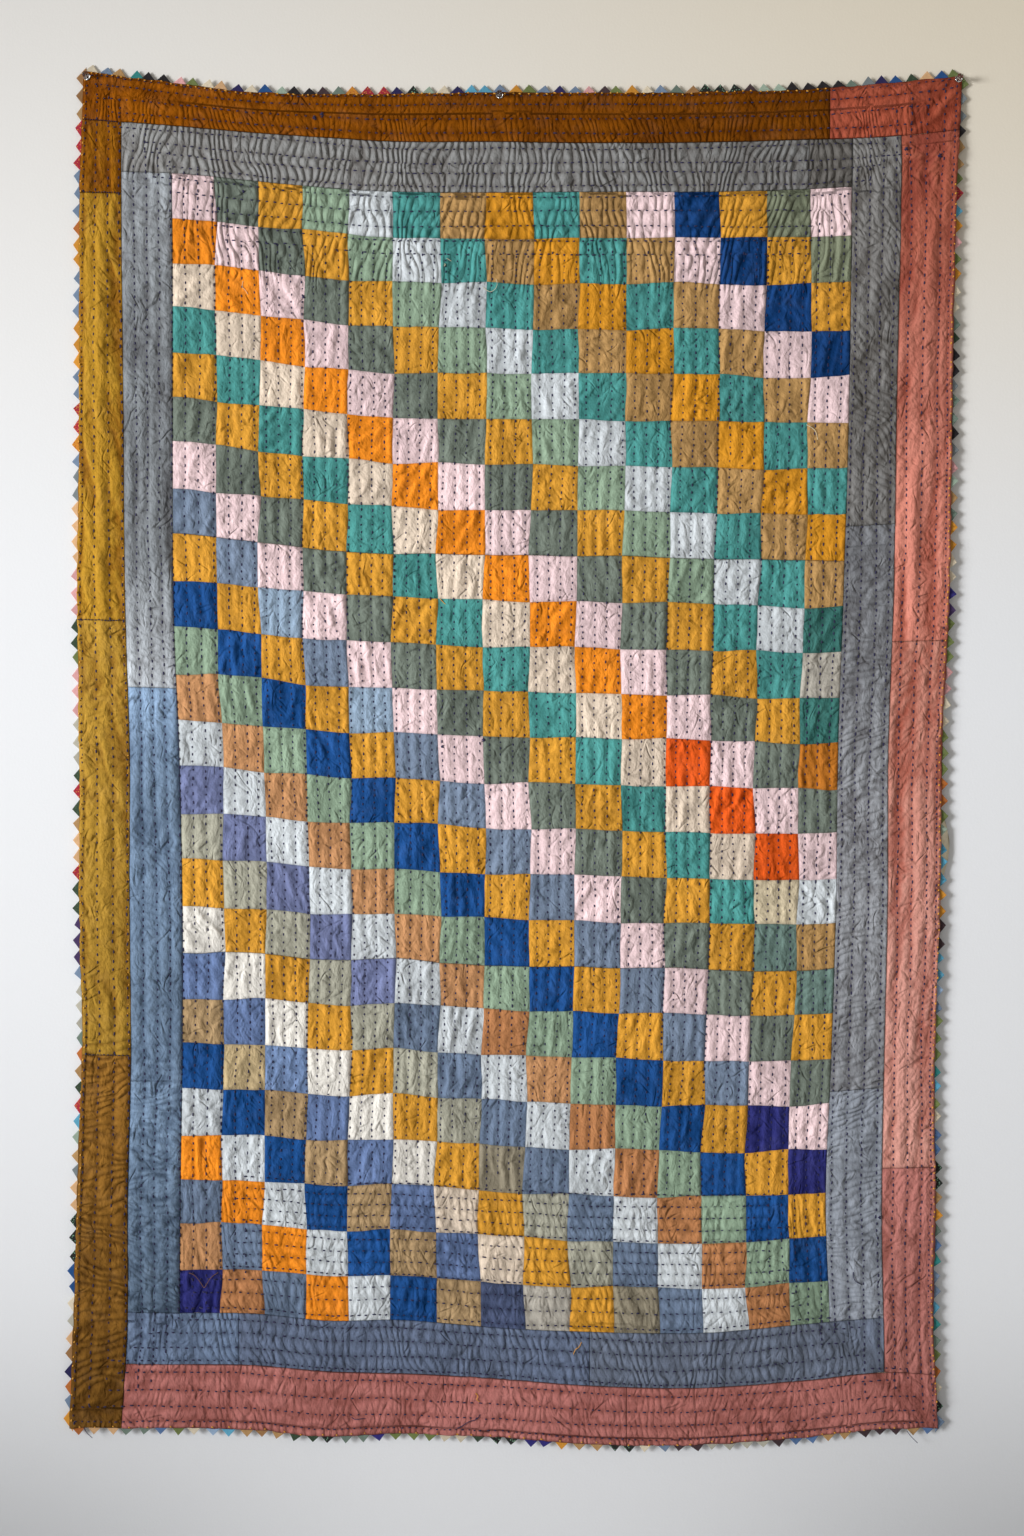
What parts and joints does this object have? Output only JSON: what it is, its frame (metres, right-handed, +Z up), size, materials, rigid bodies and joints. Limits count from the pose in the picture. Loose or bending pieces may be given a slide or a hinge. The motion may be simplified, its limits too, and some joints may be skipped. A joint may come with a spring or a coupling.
{
  "type": "ralli quilt and push pins",
  "caption": "Pieced cotton ralli quilt with diagonal bands of square patches, plain borders and an edging of folded points, hung flat by push pins.",
  "frame": {"origin": "where the middle push pin's needle enters the wall, near the middle of the quilt's top edge", "axes": "+Z up, +Y into the wall behind the quilt so that its front faces -Y, +X to the right as seen from the front"},
  "size_m": [1.3715, 0.0273, 2.105],
  "materials": {
    "patch_cotton": "matt plain-weave cotton patches in plain and faded dyes, hand stitched",
    "slate_cotton": "matt faded slate-blue cotton, rippled by the stitching",
    "ochre_cotton": "matt ochre to brown cotton, unevenly dyed",
    "rose_cotton": "matt rust and rose cotton, faded on its ridges",
    "backing_cotton": "matt cream cotton",
    "point_cotton": "matt cotton scraps in mixed plain colours and small prints, folded and pressed",
    "clear_plastic": "clear moulded polystyrene",
    "needle_steel": "bright drawn steel wire"
  },
  "bodies": {
    "root": {"patchwork_field": "patch_cotton", "inner_top_long": "slate_cotton", "inner_top_end": "slate_cotton", "inner_left_upper": "slate_cotton", "inner_left_lower": "slate_cotton", "inner_right_upper": "slate_cotton", "inner_right_middle": "slate_cotton", "inner_right_lower": "slate_cotton", "inner_bottom_left": "slate_cotton", "inner_bottom_middle": "slate_cotton", "inner_bottom_right": "slate_cotton", "outer_top_ochre": "ochre_cotton", "outer_left_short": "ochre_cotton", "outer_left_mustard": "ochre_cotton", "outer_left_ochre": "ochre_cotton", "outer_left_brown": "ochre_cotton", "outer_top_rose": "rose_cotton", "outer_right_upper": "rose_cotton", "outer_right_middle": "rose_cotton", "outer_right_lower": "rose_cotton", "outer_bottom_left": "rose_cotton", "outer_bottom_right": "rose_cotton", "backing": "backing_cotton", "edging_top": "point_cotton", "edging_left": "point_cotton", "edging_right": "point_cotton", "edging_bottom": "point_cotton", "pin_grip_left": "clear_plastic", "pin_grip_middle": "clear_plastic", "pin_grip_right": "clear_plastic", "pin_needle_left": "needle_steel", "pin_needle_middle": "needle_steel", "pin_needle_right": "needle_steel"}
  },
  "joints": []
}
